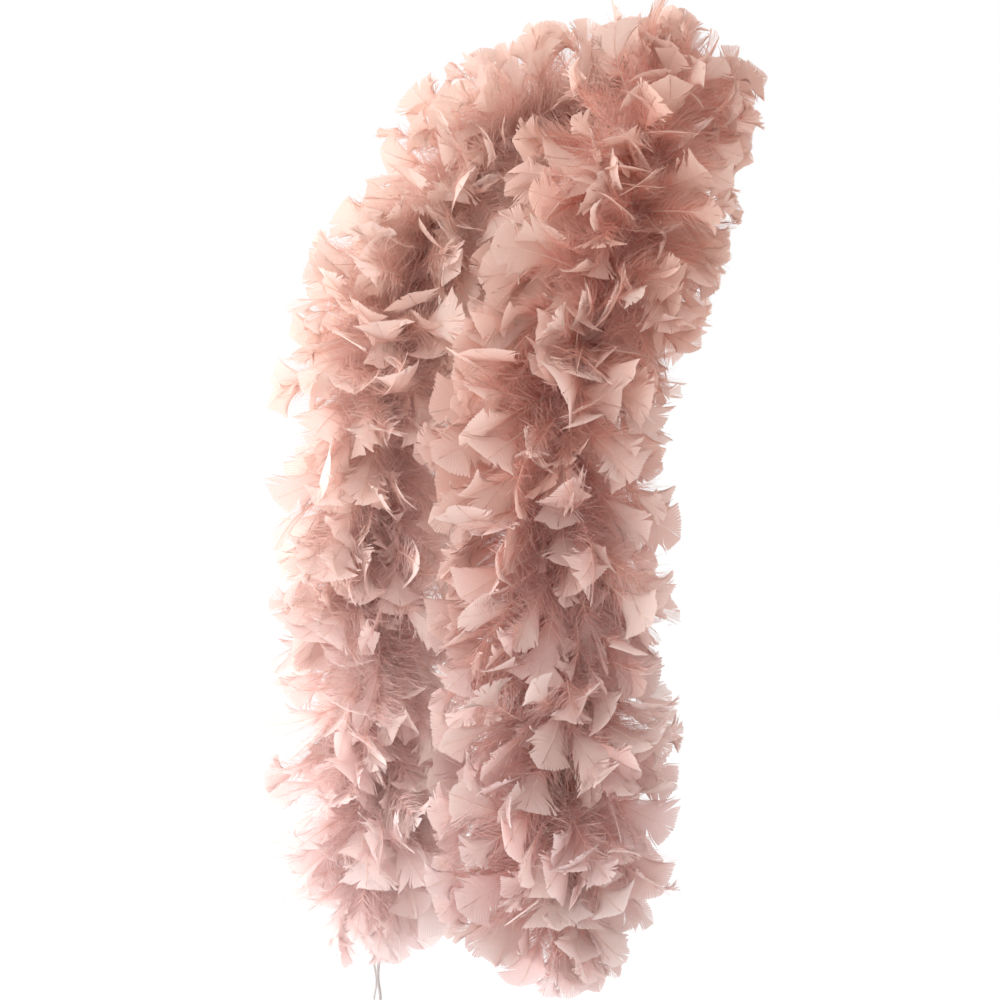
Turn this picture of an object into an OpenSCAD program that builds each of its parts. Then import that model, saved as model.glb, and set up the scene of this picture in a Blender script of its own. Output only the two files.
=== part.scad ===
// Feather boa draped round a neck: a twisted core cord that carries tiers of
// broad turkey-flat feathers and short down, with two free tails that hang in
// front and end in a knot and a loose, frayed length of cord.
// The wearer faces -Y and the wearer's left is +X. The origin is on the inner
// face of the roll at the nape, where it rests against the back of the neck.

/* [Feather roll] */
// Outer radius of the packed feather roll
roll_r = 102; // [92:1:106]
// Thickness of the feather skin of each tier
skin_t = 5; // [4:0.5:7]
// Thickness of the quill web that joins a tier to the cord
web_t = 4; // [3:0.5:6]
// Slope of the quill web on the hanging tiers, in degrees
web_slope = 20; // [18:1:26]
// Outer radius of the short down close to the cord
down_r = 22; // [16:1:26]
// Radius kept clear for the wearer's neck
neck_r = 58; // [50:1:60]

/* [Core cord] */
// Diameter of the twisted core cord
cord_d = 9; // [7:0.5:10]
// Spacing of the thread bindings along the cord
bind_pitch = 22; // [18:1:30]
// Width of one thread binding
bind_w = 6; // [4:0.5:8]
// Height of a thread binding above the cord
bind_h = 1.6; // [1:0.1:2]

/* [Tails] */
// Length of cord in one hanging tail
tail_len = 440; // [400:10:460]
// How far the last feathers hang below the end of the cord
tip_drop = 78; // [60:1:90]
// Length of the loose cord end on the wearer's left
end_left = 66; // [50:1:100]
// Length of the loose cord end on the wearer's right
end_right = 128; // [60:1:140]

/* [Hidden] */

feather_col = [0.84, 0.65, 0.59];
feather_low_col = [0.89, 0.74, 0.71];
down_col = [0.68, 0.40, 0.34];
cord_col = [0.80, 0.62, 0.56];
thread_col = [0.62, 0.38, 0.33];
fray_col = [0.93, 0.89, 0.86];

cord_r = cord_d / 2;
bore_r = cord_r + bind_h + 0.4;
// height of the top of both tails, and the length of one of their four tiers
tail_top = -330;
seg = tail_len / 4;
// flat sides of the curved tiers, of the down and of the cord round the neck
roll_n = 20;
down_n = 12;
cord_n = 12;

// The cord's route round the neck, one round point at a time. It starts on the
// wearer's left where the tail begins to hang, climbs over the chest and the
// shoulder, passes behind the neck, and comes down the other side. The first
// and the last point lie beyond the two hinges and only set the direction.
neck_x = -4;
neck_y = -58;
left_x = 101;
right_x = -130;
hang_y = -230;
route = [
  [left_x, hang_y, -390],
  [left_x, hang_y, tail_top],
  [104, -222, -280],
  [109, -196, -220],
  [112, -156, -152],
  [107, -105, -80],
  [94, -50, -10],
  [77, 4, 15],
  [44, 49, 23],
  [0, 62, 22],
  [-44, 49, 23],
  [-84, 6, 17],
  [-107, -45, -8],
  [-127, -101, -78],
  [-136, -152, -148],
  [-136, -194, -219],
  [-132, -221, -280],
  [right_x, hang_y, tail_top],
  [right_x, hang_y, -390]];
u_nape = 9;
u_left = 1;
u_right = 17;

// a smooth curve through the route's points
function spline(a, b, c, d, t) =
  0.5 * (2 * b + (c - a) * t + (2 * a - 5 * b + 4 * c - d) * t * t + (3 * b - a - 3 * c + d) * t * t * t);
function slope(a, b, c, d, t) =
  0.5 * ((c - a) + 2 * (2 * a - 5 * b + 4 * c - d) * t + 3 * (3 * b - a - 3 * c + d) * t * t);
function cell(u) = max(1, min(len(route) - 3, floor(u)));
function at(u) = let (i = cell(u)) spline(route[i - 1], route[i], route[i + 1], route[i + 2], u - i);
function rate(u) = let (i = cell(u)) slope(route[i - 1], route[i], route[i + 1], route[i + 2], u - i);
function unit(v) = v / norm(v);
function dir(u) = unit(rate(u));
// the side of the cord that faces the wearer, square to the cord
function inward(u) = let (p = at(u), t = dir(u), q = [neck_x, neck_y, p[2] - 4] - p) unit(q - (q * t) * t);
function side(u) = cross(dir(u), inward(u));
function on_ring(u, r, a) = at(u) + r * (cos(a) * inward(u) + sin(a) * side(u));
// the neck presses a flat face into the roll wherever the roll passes close by
function flat_at(u) = let (p = at(u)) norm([p[0] - neck_x, p[1] - neck_y]) - neck_r;
function roll_at(u, a) = cos(a) > 0.05 ? min(roll_r, flat_at(u) / cos(a)) : roll_r;
function du(u, mm) = mm / norm(rate(u));

// a closed loop of profile points, each [u, share of the roll's radius, extra
// radius], carried right round the cord
module ring_solid(prof, n, flip) {
  m = len(prof);
  pts = [for (j = [0 : m - 1]) for (i = [0 : n - 1])
    on_ring(prof[j][0], prof[j][1] * roll_at(prof[j][0], 360 * i / n) + prof[j][2], 360 * i / n)];
  tri = [for (j = [0 : m - 1]) for (i = [0 : n - 1]) for (k = [0, 1])
    let (a = j * n + i, b = j * n + (i + 1) % n, c = ((j + 1) % m) * n + i, d = ((j + 1) % m) * n + (i + 1) % n)
    k == 0 ? [a, b, c] : [b, d, c]];
  polyhedron(points = pts, faces = flip ? [for (f = tri) [f[2], f[1], f[0]]] : tri, convexity = 6);
}

// one tier of feathers on the curved part: a web of quills from the cord out,
// then the skin, open at the end that points away from the nape
module curved_tier(u0, u1) {
  s = u1 > u0 ? 1 : -1;
  rise = 9;
  w0 = u0 + s * du(u0, 0.6);
  w1 = u0 + s * du(u0, rise);
  e = u1 - s * du(u1, 0.6);
  steps = 5;
  ring_solid(concat(
    [[w0, 0, bore_r]],
    [[w0 + (w1 - w0) * 0.5, 0.5, 0]],
    [for (k = [0 : steps]) [w1 + (e - w1) * k / steps, 1, 0]],
    [for (k = [steps : -1 : 0]) [w1 + s * du(u0, web_t) + (e - w1 - s * du(u0, web_t)) * k / steps, 1, -skin_t]],
    [[w0 + (w1 - w0) * 0.5 + s * du(u0, web_t), 0.5, 0]],
    [[w0 + s * du(u0, web_t), 0, bore_r]]), roll_n, s > 0);
}

// the down inside one curved tier
module curved_down(u0, u1) {
  s = u1 > u0 ? 1 : -1;
  a = u0 + s * du(u0, web_t + 5.5);
  e = u1 - s * du(u1, 2.5);
  steps = 8;
  ring_solid(concat(
    [for (k = [0 : steps]) [a + (e - a) * k / steps, 0, down_r]],
    [for (k = [steps : -1 : 0]) [a + (e - a) * k / steps, 0, bore_r + 0.8]]), down_n, s > 0);
}

// the cord from the left hinge to the right hinge
module curved_cord(ua, ub, n) {
  rings = 76;
  a = ua + du(ua, 0.15);
  b = ub - du(ub, 0.15);
  us = [for (k = [0 : rings]) a + (b - a) * k / rings];
  // the first and the last ring are drawn in to a blunt tip
  rr = [for (k = [0 : rings]) k == 0 || k == rings ? 0.6 : cord_r];
  pts = [for (k = [0 : rings]) for (i = [0 : n - 1]) on_ring(us[k] + (k == 1 ? -(us[1] - us[0]) + du(ua, 1.3) : k == rings - 1 ? (us[1] - us[0]) - du(ub, 1.3) : 0), rr[k], 360 * i / n)];
  body = [for (k = [0 : rings - 1]) for (i = [0 : n - 1]) for (h = [0, 1])
    let (p = k * n + i, q = k * n + (i + 1) % n, r = (k + 1) * n + i, t = (k + 1) * n + (i + 1) % n)
    h == 0 ? [r, q, p] : [r, t, q]];
  caps = concat([[for (i = [0 : n - 1]) i]], [[for (i = [n - 1 : -1 : 0]) rings * n + i]]);
  polyhedron(points = pts, faces = concat(body, caps), convexity = 6);
}

// turns +Z to a direction
module face_along(v) rotate([0, acos(v[2] / norm(v)), atan2(v[1], v[0])]) children();

// one turn of thread bound round the cord
module binding(slack = 0.12) {
  difference() {
    cylinder(r = cord_r + bind_h, h = bind_w, center = true, $fn = 32);
    cylinder(r = cord_r + slack, h = bind_w + 2, center = true, $fn = 32);
  }
}

// a hanging tier: k counts down from the top of a tail, last is the fourth
module hanging_tier(x, k) {
  top = tail_top - seg * k;
  bottom = k == 3 ? tail_top - tail_len - tip_drop : top - seg + 1;
  drop = roll_r * tan(web_slope);
  lip = bore_r * tan(web_slope);
  taper = k == 3 ? 0.9 : 1;
  translate([x, hang_y, 0]) rotate_extrude($fn = 72) polygon([
    [bore_r, top - 1 - lip],
    [roll_r, top - 1 - drop],
    [roll_r, k == 3 ? bottom + 50 : bottom],
    [roll_r * taper, bottom],
    [roll_r * taper - skin_t, bottom],
    [roll_r - skin_t, k == 3 ? bottom + 50 : bottom + 0.01],
    [roll_r - skin_t, top - 1 - drop - web_t + skin_t * tan(web_slope)],
    [bore_r, top - 1 - lip - web_t]]);
}

module hanging_down(x, k) {
  top = tail_top - seg * k;
  bottom = k == 3 ? tail_top - tail_len + 24 : top - seg + 1;
  translate([x, hang_y, 0]) rotate_extrude($fn = 48) polygon([
    [bore_r, top - 2 - web_t - bore_r * tan(web_slope)],
    [down_r, top - 2 - web_t - down_r * tan(web_slope)],
    [down_r, bottom],
    [bore_r, bottom]]);
}

// one straight length of core cord with a blunt cone at each hinge
module hanging_cord(x, k) {
  top = tail_top - seg * k - 0.15;
  bottom = tail_top - seg * (k + 1) + (k == 3 ? 0 : 0.15);
  translate([x, hang_y, 0]) rotate_extrude($fn = 48) polygon(concat(
    [[0, top], [0.6, top], [cord_r, top - 1.2]],
    k == 3 ? [[cord_r, bottom], [0, bottom]] : [[cord_r, bottom + 1.2], [0.6, bottom], [0, bottom]]));
}

module hanging_bindings(x, k) {
  top = tail_top - seg * k;
  count = floor((seg - 14 - (k == 3 ? 24 : 0)) / bind_pitch) + 1;
  for (i = [0 : count - 1])
    translate([x, hang_y, top - 9 - bind_w / 2 - i * bind_pitch]) binding();
}

// turns of thread that whip the end of the cord
module whipping(x) {
  z0 = tail_top - tail_len + 2;
  translate([x, hang_y, z0]) difference() {
    union() {
      cylinder(r = cord_r + 1.1, h = 18, $fn = 40);
      for (i = [0 : 5]) translate([0, 0, 1.5 + 3 * i]) rotate_extrude($fn = 40) translate([cord_r + 1.1, 0]) circle(r = 0.9, $fn = 16);
    }
    translate([0, 0, -2]) cylinder(r = cord_r + 0.12, h = 22, $fn = 40);
  }
}

// the stop knot under the whipping
module knot(x) {
  z0 = tail_top - tail_len - 0.1;
  translate([x, hang_y, z0]) union() {
    translate([0, 0, -10]) sphere(r = 8.5, $fn = 40);
    for (a = [-32, 32]) translate([0, 0, -10]) rotate([a, 0, a]) rotate_extrude($fn = 40) translate([7.2, 0]) circle(r = 3.4, $fn = 20);
    translate([0, 0, -6]) cylinder(r = cord_r, h = 6, $fn = 40);
  }
}

// the loose end of the cord, whose frayed fibres gather into a slim brush that
// a ring or a clip can still slide over
module loose_end(x, length) {
  z0 = tail_top - tail_len - 18.9;
  fray = length * 0.42;
  translate([x, hang_y, z0]) {
    rotate_extrude($fn = 40) polygon([[0, 0], [0.6, 0], [3.2, -2.4], [3.2, -(length - fray)], [0, -(length - fray)]]);
    translate([0, 0, -length]) rotate_extrude($fn = 40) polygon([[0, 0], [1.6, 0], [2.6, 8], [3.0, fray * 0.6], [3.2, fray], [0, fray]]);
  }
}

// the tiers round the neck, each from one share of the route to the next
side_cuts = [0.55, 2, 3.2, 4.6, 6.1, 8];

module feathers_nape() color(feather_col) curved_tier(u_nape - side_cuts[0], u_nape + side_cuts[0]);
module tier_left(i) color(feather_col) curved_tier(u_nape - side_cuts[i], u_nape - side_cuts[i + 1]);
module tier_right(i) color(feather_col) curved_tier(u_nape + side_cuts[i], u_nape + side_cuts[i + 1]);
module down_nape() color(down_col) curved_down(u_nape - side_cuts[0], u_nape + side_cuts[0]);
module down_collar_left() color(down_col) for (i = [0 : 4]) curved_down(u_nape - side_cuts[i], u_nape - side_cuts[i + 1]);
module down_collar_right() color(down_col) for (i = [0 : 4]) curved_down(u_nape + side_cuts[i], u_nape + side_cuts[i + 1]);
module tail_tier(x, k) color(k > 1 ? feather_low_col : feather_col) hanging_tier(x, k);
module tail_down(x, k) color(down_col) hanging_down(x, k);
module tail_cord(x, k) color(cord_col) hanging_cord(x, k);
module tail_bindings(x, k) color(thread_col) hanging_bindings(x, k);
module core_collar() color(cord_col) curved_cord(u_left, u_right, cord_n);
// bindings sit at even steps along each share of the route
module bindings_collar() color(thread_col)
  for (i = [u_left : u_right - 1]) let (n = max(1, floor(norm(route[i + 1] - route[i]) / bind_pitch)))
    for (k = [0 : n - 1]) let (u = i + (k + 0.5) / n) translate(at(u)) face_along(dir(u)) binding(0.5);
module end_whipping(x) color(thread_col) whipping(x);
module end_knot(x) color(cord_col) knot(x);
module cord_end(x, length) color(fray_col) loose_end(x, length);

feathers_nape();
tier_left(0);  // feathers_back_left
tier_left(1);  // feathers_shoulder_left
tier_left(2);  // feathers_chest_left_1
tier_left(3);  // feathers_chest_left_2
tier_left(4);  // feathers_chest_left_3
tier_right(0);  // feathers_back_right
tier_right(1);  // feathers_shoulder_right
tier_right(2);  // feathers_chest_right_1
tier_right(3);  // feathers_chest_right_2
tier_right(4);  // feathers_chest_right_3
tail_tier(left_x, 0);  // feathers_tail_left_1
tail_tier(left_x, 1);  // feathers_tail_left_2
tail_tier(left_x, 2);  // feathers_tail_left_3
tail_tier(left_x, 3);  // feathers_tail_left_4
tail_tier(right_x, 0);  // feathers_tail_right_1
tail_tier(right_x, 1);  // feathers_tail_right_2
tail_tier(right_x, 2);  // feathers_tail_right_3
tail_tier(right_x, 3);  // feathers_tail_right_4
down_nape();
down_collar_left();
down_collar_right();
tail_down(left_x, 0);  // down_tail_left_1
tail_down(left_x, 1);  // down_tail_left_2
tail_down(left_x, 2);  // down_tail_left_3
tail_down(left_x, 3);  // down_tail_left_4
tail_down(right_x, 0);  // down_tail_right_1
tail_down(right_x, 1);  // down_tail_right_2
tail_down(right_x, 2);  // down_tail_right_3
tail_down(right_x, 3);  // down_tail_right_4
core_collar();
tail_cord(left_x, 0);  // core_left_1
tail_cord(left_x, 1);  // core_left_2
tail_cord(left_x, 2);  // core_left_3
tail_cord(left_x, 3);  // core_left_4
tail_cord(right_x, 0);  // core_right_1
tail_cord(right_x, 1);  // core_right_2
tail_cord(right_x, 2);  // core_right_3
tail_cord(right_x, 3);  // core_right_4
bindings_collar();
tail_bindings(left_x, 0);  // bindings_left_1
tail_bindings(left_x, 1);  // bindings_left_2
tail_bindings(left_x, 2);  // bindings_left_3
tail_bindings(left_x, 3);  // bindings_left_4
tail_bindings(right_x, 0);  // bindings_right_1
tail_bindings(right_x, 1);  // bindings_right_2
tail_bindings(right_x, 2);  // bindings_right_3
tail_bindings(right_x, 3);  // bindings_right_4
end_whipping(left_x);  // end_whipping_left
end_whipping(right_x);  // end_whipping_right
end_knot(left_x);  // end_knot_left
end_knot(right_x);  // end_knot_right
cord_end(left_x, end_left);  // cord_end_left
cord_end(right_x, end_right);  // cord_end_right
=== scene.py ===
# Feather boa: the looks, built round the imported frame. Metres, the frame's own axes.
import math

import bpy
import numpy as np
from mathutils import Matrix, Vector


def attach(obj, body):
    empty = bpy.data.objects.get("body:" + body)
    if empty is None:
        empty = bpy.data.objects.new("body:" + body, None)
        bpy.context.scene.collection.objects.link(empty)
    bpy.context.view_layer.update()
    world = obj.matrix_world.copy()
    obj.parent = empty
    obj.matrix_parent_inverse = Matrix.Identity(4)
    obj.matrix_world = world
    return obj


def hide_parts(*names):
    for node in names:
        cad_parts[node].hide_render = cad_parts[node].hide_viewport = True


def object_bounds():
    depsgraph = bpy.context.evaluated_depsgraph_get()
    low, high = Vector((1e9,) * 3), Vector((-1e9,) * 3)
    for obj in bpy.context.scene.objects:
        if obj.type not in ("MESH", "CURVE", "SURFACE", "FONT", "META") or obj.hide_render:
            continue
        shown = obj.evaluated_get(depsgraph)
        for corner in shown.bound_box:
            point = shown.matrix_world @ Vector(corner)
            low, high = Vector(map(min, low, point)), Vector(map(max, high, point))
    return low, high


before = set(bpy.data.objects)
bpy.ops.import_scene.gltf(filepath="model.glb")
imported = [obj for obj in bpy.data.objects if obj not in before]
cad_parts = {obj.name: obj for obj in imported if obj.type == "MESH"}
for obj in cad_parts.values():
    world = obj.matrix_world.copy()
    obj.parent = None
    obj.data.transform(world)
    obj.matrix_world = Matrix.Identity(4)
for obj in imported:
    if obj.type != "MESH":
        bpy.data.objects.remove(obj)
cad_low, cad_high = [list(map(float, p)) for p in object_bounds()]

scene = bpy.context.scene
scene.view_settings.view_transform = "Standard"
scene.view_settings.look = "None"

# ------------------------------------------------------------------ camera
AZ = math.radians(36.0)
RIGHT = np.array([math.cos(AZ), math.sin(AZ), 0.0])
TO_CAM = np.array([math.sin(AZ), -math.cos(AZ), 0.0])
NECK = np.array([0.0, -0.06, 0.0])
aim = NECK + RIGHT * -0.079 + np.array([0, 0, -0.391])
cam_data = bpy.data.cameras.new("camera")
cam_data.sensor_width = 36.0
cam_data.lens = 36.0 * 3.0 / (1000 / 960.0)
cam_data.clip_end = 100
cam = bpy.data.objects.new("camera", cam_data)
scene.collection.objects.link(cam)
cam.location = Vector(aim + TO_CAM * 3.0)
cam.rotation_euler = (math.radians(90.0), 0.0, AZ)
scene.camera = cam

# ------------------------------------------------------------------- route
MM = 0.001
ROUTE = np.array([
    [101, -230, -390], [101, -230, -330], [104, -222, -280], [109, -196, -220], [112, -156, -152],
    [107, -105, -80], [94, -50, -10], [77, 4, 15], [44, 49, 23], [0, 62, 22], [-44, 49, 23], [-84, 6, 17],
    [-107, -45, -8], [-127, -101, -78], [-136, -152, -148], [-136, -194, -219], [-132, -221, -280],
    [-130, -230, -330], [-130, -230, -390]], float) * MM
LEFT_X, RIGHT_X, HANG_Y, TOP, SEG, TAIL = 0.101, -0.130, -0.230, -0.330, 0.110, 0.440
CUTS = [0.55, 2, 3.2, 4.6, 6.1, 8]
CORD_R = 0.0045
U_NAPE = 9


def spline(u):
    u = np.atleast_1d(np.asarray(u, float))
    i = np.clip(np.floor(u).astype(int), 1, len(ROUTE) - 3)
    t = (u - i)[:, None]
    a, b, c, d = ROUTE[i - 1], ROUTE[i], ROUTE[i + 1], ROUTE[i + 2]
    p = 0.5 * (2 * b + (c - a) * t + (2 * a - 5 * b + 4 * c - d) * t**2 + (3 * b - a - 3 * c + d) * t**3)
    v = 0.5 * ((c - a) + 2 * (2 * a - 5 * b + 4 * c - d) * t + 3 * (3 * b - a - 3 * c + d) * t**2)
    return p, v / np.linalg.norm(v, axis=1)[:, None]


def unit(v):
    return v / np.maximum(np.linalg.norm(v, axis=-1, keepdims=True), 1e-12)


def core_share(kind, side, k):
    """Points along one share of the core, from its nape end to its tail end, with the direction of travel."""
    if kind == "tail":
        x = LEFT_X if side == "left" else RIGHT_X
        z = np.linspace(TOP - SEG * k, TOP - SEG * (k + 1), 40)
        p = np.stack([np.full(40, x), np.full(40, HANG_Y), z], 1)
        return p, np.tile([0.0, 0.0, -1.0], (40, 1))
    s = -1 if side == "left" else 1
    if kind == "nape":
        us = np.linspace(U_NAPE - CUTS[0], U_NAPE + CUTS[0], 60)
        p, v = spline(us)
        return p, v
    us = np.linspace(U_NAPE + s * CUTS[k], U_NAPE + s * CUTS[k + 1], 60)
    p, v = spline(us)
    return p, v * s


# ---------------------------------------------------------------- materials
def rgb(r, g, b):
    f = lambda c: c / 12.92 if c <= 0.04045 else ((c + 0.055) / 1.055) ** 2.4
    return np.array([f(r), f(g), f(b)])


def new_material(name):
    m = bpy.data.materials.new(name)
    m.use_nodes = True
    nt = m.node_tree
    nt.nodes.clear()
    return m, nt, nt.nodes, nt.links


def feather_material(name, translucency, sheen, bump, stripe):
    m, nt, N, L = new_material(name)
    out = N.new("ShaderNodeOutputMaterial")
    mix = N.new("ShaderNodeMixShader")
    mix.inputs[0].default_value = translucency
    pr = N.new("ShaderNodeBsdfPrincipled")
    pr.inputs["Roughness"].default_value = 0.62
    pr.inputs["Specular IOR Level"].default_value = 0.32
    pr.inputs["Sheen Weight"].default_value = sheen
    pr.inputs["Sheen Roughness"].default_value = 0.45
    tr = N.new("ShaderNodeBsdfTranslucent")
    col = N.new("ShaderNodeAttribute"); col.attribute_name = "tint"
    uv = N.new("ShaderNodeUVMap"); uv.uv_map = "barb"
    sep = N.new("ShaderNodeSeparateXYZ")
    L.new(uv.outputs[0], sep.inputs[0])
    # fine lines along each barb, one wave to a barb, broken up by noise
    wave = N.new("ShaderNodeMath"); wave.operation = "MULTIPLY"; wave.inputs[1].default_value = 2 * math.pi
    L.new(sep.outputs[0], wave.inputs[0])
    sine = N.new("ShaderNodeMath"); sine.operation = "COSINE"
    L.new(wave.outputs[0], sine.inputs[0])
    noise = N.new("ShaderNodeTexNoise"); noise.inputs["Scale"].default_value = 1.0; noise.inputs["Detail"].default_value = 3.0
    comb = N.new("ShaderNodeCombineXYZ")
    sx = N.new("ShaderNodeMath"); sx.operation = "MULTIPLY"; sx.inputs[1].default_value = 2.3
    sy = N.new("ShaderNodeMath"); sy.operation = "MULTIPLY"; sy.inputs[1].default_value = 2.0
    L.new(sep.outputs[0], sx.inputs[0]); L.new(sep.outputs[1], sy.inputs[0])
    L.new(sx.outputs[0], comb.inputs[0]); L.new(sy.outputs[0], comb.inputs[1])
    L.new(comb.outputs[0], noise.inputs["Vector"])
    # 1 + stripe*cos + noise
    a = N.new("ShaderNodeMath"); a.operation = "MULTIPLY_ADD"; a.inputs[1].default_value = stripe; a.inputs[2].default_value = 0.90
    L.new(sine.outputs[0], a.inputs[0])
    b = N.new("ShaderNodeMath"); b.operation = "MULTIPLY_ADD"; b.inputs[1].default_value = 0.22
    L.new(noise.outputs[0], b.inputs[0]); L.new(a.outputs[0], b.inputs[2])
    sc = N.new("ShaderNodeVectorMath"); sc.operation = "SCALE"
    L.new(col.outputs["Color"], sc.inputs[0]); L.new(b.outputs[0], sc.inputs["Scale"])
    L.new(sc.outputs[0], pr.inputs["Base Color"]); L.new(sc.outputs[0], tr.inputs["Color"])
    bp = N.new("ShaderNodeBump"); bp.inputs["Strength"].default_value = bump; bp.inputs["Distance"].default_value = 0.0004
    L.new(b.outputs[0], bp.inputs["Height"])
    L.new(bp.outputs[0], pr.inputs["Normal"])
    L.new(pr.outputs[0], mix.inputs[1]); L.new(tr.outputs[0], mix.inputs[2]); L.new(mix.outputs[0], out.inputs[0])
    return m


def fibre_material(name, c1, c2, twist, scale, rough=0.8, sheen=0.3):
    """Twisted fibre: fine slanted lines along the strand, from the uv that runs round and along it."""
    m, nt, N, L = new_material(name)
    out = N.new("ShaderNodeOutputMaterial")
    pr = N.new("ShaderNodeBsdfPrincipled")
    pr.inputs["Roughness"].default_value = rough
    pr.inputs["Sheen Weight"].default_value = sheen
    pr.inputs["Specular IOR Level"].default_value = 0.25
    tc = N.new("ShaderNodeTexCoord")
    uv = N.new("ShaderNodeUVMap"); uv.uv_map = "barb"
    sep = N.new("ShaderNodeSeparateXYZ"); L.new(uv.outputs[0], sep.inputs[0])
    a = N.new("ShaderNodeMath"); a.operation = "MULTIPLY_ADD"; a.inputs[1].default_value = twist
    L.new(sep.outputs[1], a.inputs[0]); L.new(sep.outputs[0], a.inputs[2])
    s = N.new("ShaderNodeMath"); s.operation = "MULTIPLY"; s.inputs[1].default_value = 2 * math.pi * scale
    L.new(a.outputs[0], s.inputs[0])
    w = N.new("ShaderNodeMath"); w.operation = "SINE"; L.new(s.outputs[0], w.inputs[0])
    n = N.new("ShaderNodeTexNoise"); n.inputs["Scale"].default_value = 900; n.inputs["Detail"].default_value = 4
    L.new(tc.outputs["Object"], n.inputs["Vector"])
    h = N.new("ShaderNodeMath"); h.operation = "MULTIPLY_ADD"; h.inputs[1].default_value = 0.28; L.new(w.outputs[0], h.inputs[0]); L.new(n.outputs[0], h.inputs[2])
    ramp = N.new("ShaderNodeValToRGB")
    ramp.color_ramp.elements[0].position = 0.25; ramp.color_ramp.elements[0].color = (*c1, 1)
    ramp.color_ramp.elements[1].position = 0.75; ramp.color_ramp.elements[1].color = (*c2, 1)
    L.new(h.outputs[0], ramp.inputs[0]); L.new(ramp.outputs[0], pr.inputs["Base Color"])
    bp = N.new("ShaderNodeBump"); bp.inputs["Strength"].default_value = 0.6; bp.inputs["Distance"].default_value = 0.0005
    L.new(h.outputs[0], bp.inputs["Height"]); L.new(bp.outputs[0], pr.inputs["Normal"])
    L.new(pr.outputs[0], out.inputs[0])
    return m


VANE = feather_material("feather_vane", 0.38, 0.3, 0.3, 0.06)
DOWN = feather_material("feather_down", 0.45, 0.4, 0.0, 0.02)
CORE = fibre_material("core_cord", rgb(0.58, 0.36, 0.31), rgb(0.83, 0.64, 0.57), 260.0, 5.0)
THREAD = fibre_material("binding_thread", rgb(0.50, 0.27, 0.23), rgb(0.72, 0.48, 0.42), 500.0, 3.0)
FRAY = fibre_material("frayed_cord", rgb(0.90, 0.86, 0.84), rgb(0.985, 0.97, 0.96), 240.0, 4.0)


# ------------------------------------------------------------- mesh helpers
def build(name, verts, tris, mats, uv_bake=None, uv_barb=None, tint=None, smooth=True):
    me = bpy.data.meshes.new(name)
    nv, nt = len(verts), len(tris)
    me.vertices.add(nv)
    me.vertices.foreach_set("co", np.ascontiguousarray(verts, np.float32).ravel())
    me.loops.add(nt * 3)
    flat = np.ascontiguousarray(tris, np.int32).ravel()
    me.loops.foreach_set("vertex_index", flat)
    me.polygons.add(nt)
    me.polygons.foreach_set("loop_start", np.arange(0, nt * 3, 3, dtype=np.int32))
    me.polygons.foreach_set("use_smooth", np.broadcast_to(smooth, (nt,)).astype(bool))
    for m in mats:
        me.materials.append(m)
    me.update(calc_edges=True)
    if uv_barb is not None:
        lay = me.uv_layers.new(name="barb")
        lay.uv.foreach_set("vector", np.ascontiguousarray(uv_barb[flat], np.float32).ravel())
    if uv_bake is not None:
        lay = me.uv_layers.new(name="OFBake")
        lay.uv.foreach_set("vector", np.ascontiguousarray(uv_bake[flat], np.float32).ravel())
    if tint is not None:
        at = me.color_attributes.new("tint", "FLOAT_COLOR", "POINT")
        at.data.foreach_set("color", np.ascontiguousarray(np.c_[tint, np.ones(nv)], np.float32).ravel())
    me.validate(verbose=False)
    ob = bpy.data.objects.new(name, me)
    scene.collection.objects.link(ob)
    return ob


def strip(n):
    """Triangles of a ribbon of n cross-sections that ends in one point."""
    t = []
    for j in range(n - 1):
        a = 2 * j
        t += [[a, a + 1, a + 3], [a, a + 3, a + 2]]
    a = 2 * (n - 1)
    t.append([a, a + 1, a + 2])
    return np.array(t)


# --------------------------------------- core cord, windings, knots, frayed ends
def frames(P):
    """Unit tangents and a frame carried along the points without twisting."""
    T = unit(np.gradient(P, axis=0))
    n = np.cross(T[0], [1.0, 0.0, 0.0] if abs(T[0][0]) < 0.9 else [0.0, 1.0, 0.0])
    Nn = [n / np.linalg.norm(n)]
    for i in range(1, len(P)):
        n = Nn[-1] - (Nn[-1] @ T[i]) * T[i]
        Nn.append(n / np.linalg.norm(n))
    Nn = np.array(Nn)
    return T, Nn, np.cross(T, Nn)


def resample(P, step):
    d = np.r_[0, np.cumsum(np.linalg.norm(np.diff(P, axis=0), axis=1))]
    n = max(3, int(round(d[-1] / step)) + 1)
    q = np.linspace(0, d[-1], n)
    return np.stack([np.interp(q, d, P[:, i]) for i in range(3)], 1), q


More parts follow.
